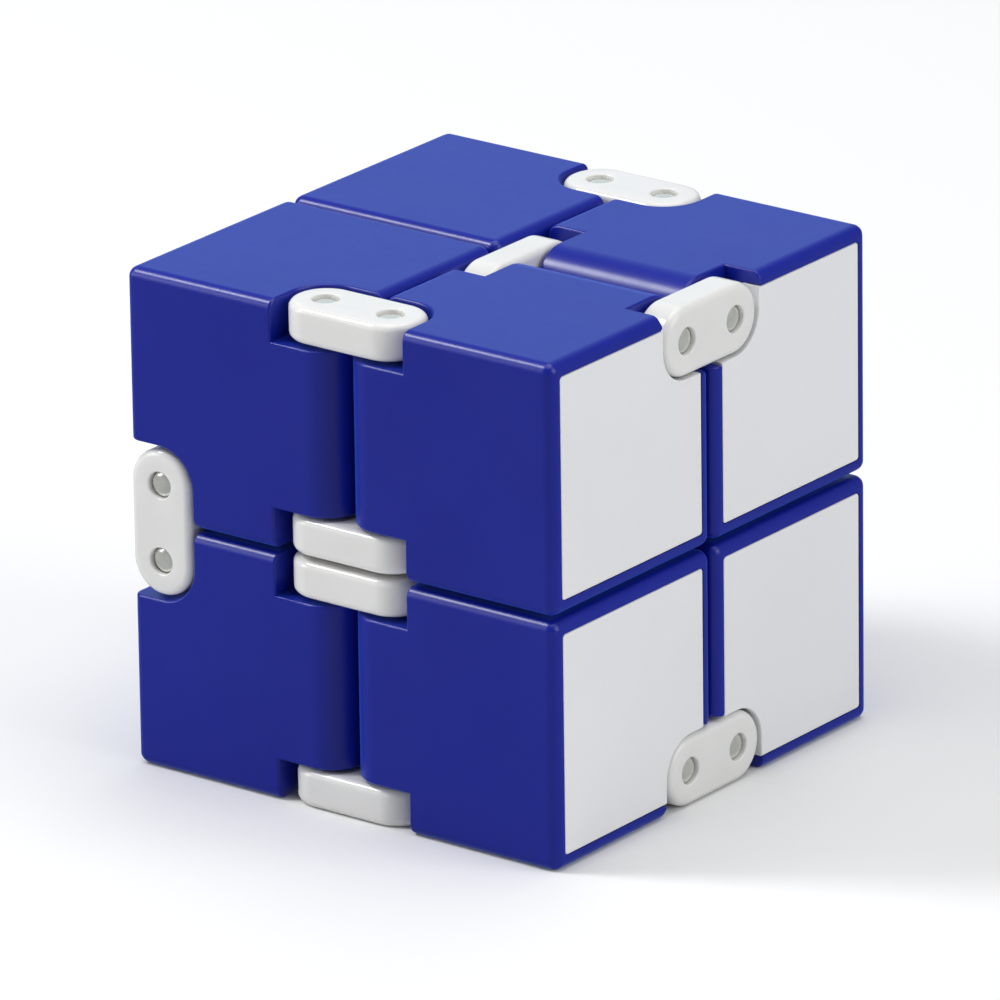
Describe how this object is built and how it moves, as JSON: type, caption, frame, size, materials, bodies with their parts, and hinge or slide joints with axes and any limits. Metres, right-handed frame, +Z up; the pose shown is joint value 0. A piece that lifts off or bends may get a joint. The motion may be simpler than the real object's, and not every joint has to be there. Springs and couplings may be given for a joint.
{
  "type": "infinity cube",
  "caption": "Folding desk cube of hollow blue blocks with white lids, joined in one endless loop by short white links on pins; folds open to a slab or a flat sheet.",
  "frame": {"origin": "centre of the underside of the closed cube", "axes": "+Z up, -Y the front face, +X the right-hand face that shows the white lids"},
  "size_m": [0.04, 0.04, 0.04],
  "materials": {
    "casing": "satin-gloss royal blue moulded ABS",
    "lid": "fine matt cool white moulded ABS",
    "link": "glossy warm white moulded acetal",
    "pin": "plain drawn steel wire, cut ends"
  },
  "bodies": {
    "right_lower": {"casing_right_front_lower": "casing", "lid_right_front_lower": "lid", "casing_right_back_lower": "casing", "lid_right_back_lower": "lid", "pin_front_lower_right": "pin", "pin_right_bottom_front": "pin", "pin_back_lower_right": "pin", "pin_right_bottom_back": "pin", "link_right_bottom_inner": "link", "link_right_bottom_outer": "link"},
    "front_lower_links": {"link_front_lower_bottom": "link", "link_front_lower_top": "link"},
    "left_front_lower": {"casing_left_front_lower": "casing", "lid_left_front_lower": "lid", "pin_front_lower_left": "pin", "pin_left_front_lower": "pin"},
    "left_front_links": {"link_left_front_front": "link", "link_left_front_back": "link"},
    "left_front_upper": {"casing_left_front_upper": "casing", "lid_left_front_upper": "lid", "pin_front_upper_left": "pin", "pin_left_front_upper": "pin"},
    "front_upper_links": {"link_front_upper_bottom": "link", "link_front_upper_top": "link"},
    "right_upper": {"casing_right_front_upper": "casing", "lid_right_front_upper": "lid", "casing_right_back_upper": "casing", "lid_right_back_upper": "lid", "pin_front_upper_right": "pin", "pin_right_top_front": "pin", "pin_back_upper_right": "pin", "pin_right_top_back": "pin", "link_right_top_inner": "link", "link_right_top_outer": "link"},
    "back_upper_links": {"link_back_upper_bottom": "link", "link_back_upper_top": "link"},
    "left_back_upper": {"casing_left_back_upper": "casing", "lid_left_back_upper": "lid", "pin_back_upper_left": "pin", "pin_left_back_upper": "pin"},
    "back_lower_links": {"link_back_lower_bottom": "link", "link_back_lower_top": "link"},
    "left_back_lower": {"casing_left_back_lower": "casing", "lid_left_back_lower": "lid", "pin_back_lower_left": "pin", "pin_left_back_lower": "pin"},
    "left_back_links": {"link_left_back_front": "link", "link_left_back_back": "link"}
  },
  "joints": [
    {"name": "front_fold", "type": "hinge", "parent": "right_lower", "child": "front_lower_links", "pos_m": [0.00305, -0.01715, 0.0101], "axis": [0, 0, 1], "range_deg": [0, 90]},
    {"name": "front_fold_far", "type": "hinge", "parent": "front_lower_links", "child": "left_front_lower", "pos_m": [-0.00305, -0.01715, 0.0101], "axis": [0, 0, 1], "range_deg": [0, 90]},
    {"name": "layer_fold", "type": "hinge", "parent": "left_front_lower", "child": "left_front_links", "pos_m": [-0.01715, -0.0101, 0.01695], "axis": [0, -1, 0], "range_deg": [0, 90]},
    {"name": "layer_fold_far", "type": "hinge", "parent": "left_front_links", "child": "left_front_upper", "pos_m": [-0.01715, -0.0101, 0.02305], "axis": [0, -1, 0], "range_deg": [0, 90]},
    {"name": "front_fold_upper", "type": "hinge", "parent": "left_front_upper", "child": "front_upper_links", "pos_m": [-0.00305, -0.01715, 0.0299], "axis": [0, 0, -1], "range_deg": [0, 90]},
    {"name": "front_fold_upper_far", "type": "hinge", "parent": "front_upper_links", "child": "right_upper", "pos_m": [0.00305, -0.01715, 0.0299], "axis": [0, 0, -1], "range_deg": [0, 90]},
    {"name": "back_fold_upper", "type": "hinge", "parent": "right_upper", "child": "back_upper_links", "pos_m": [0.00305, 0.01715, 0.0299], "axis": [0, 0, -1], "range_deg": [0, 90]},
    {"name": "back_fold_upper_far", "type": "hinge", "parent": "back_upper_links", "child": "left_back_upper", "pos_m": [-0.00305, 0.01715, 0.0299], "axis": [0, 0, -1], "range_deg": [0, 90]},
    {"name": "back_fold", "type": "hinge", "parent": "right_lower", "child": "back_lower_links", "pos_m": [0.00305, 0.01715, 0.0101], "axis": [0, 0, -1], "range_deg": [0, 90]},
    {"name": "back_fold_far", "type": "hinge", "parent": "back_lower_links", "child": "left_back_lower", "pos_m": [-0.00305, 0.01715, 0.0101], "axis": [0, 0, -1], "range_deg": [0, 90]},
    {"name": "layer_fold_back", "type": "hinge", "parent": "left_back_lower", "child": "left_back_links", "pos_m": [-0.01715, 0.0101, 0.01695], "axis": [0, -1, 0], "range_deg": [0, 90]}
  ],
  "couplings": [
    {"joint": "front_fold_far", "follows": "front_fold", "ratio": 1},
    {"joint": "front_fold_upper", "follows": "front_fold", "ratio": 1},
    {"joint": "front_fold_upper_far", "follows": "front_fold", "ratio": 1},
    {"joint": "layer_fold_far", "follows": "layer_fold", "ratio": 1},
    {"joint": "layer_fold_back", "follows": "layer_fold", "ratio": 1},
    {"joint": "back_fold_far", "follows": "back_fold", "ratio": 1},
    {"joint": "back_fold_upper", "follows": "back_fold", "ratio": 1},
    {"joint": "back_fold_upper_far", "follows": "back_fold", "ratio": 1}
  ]
}
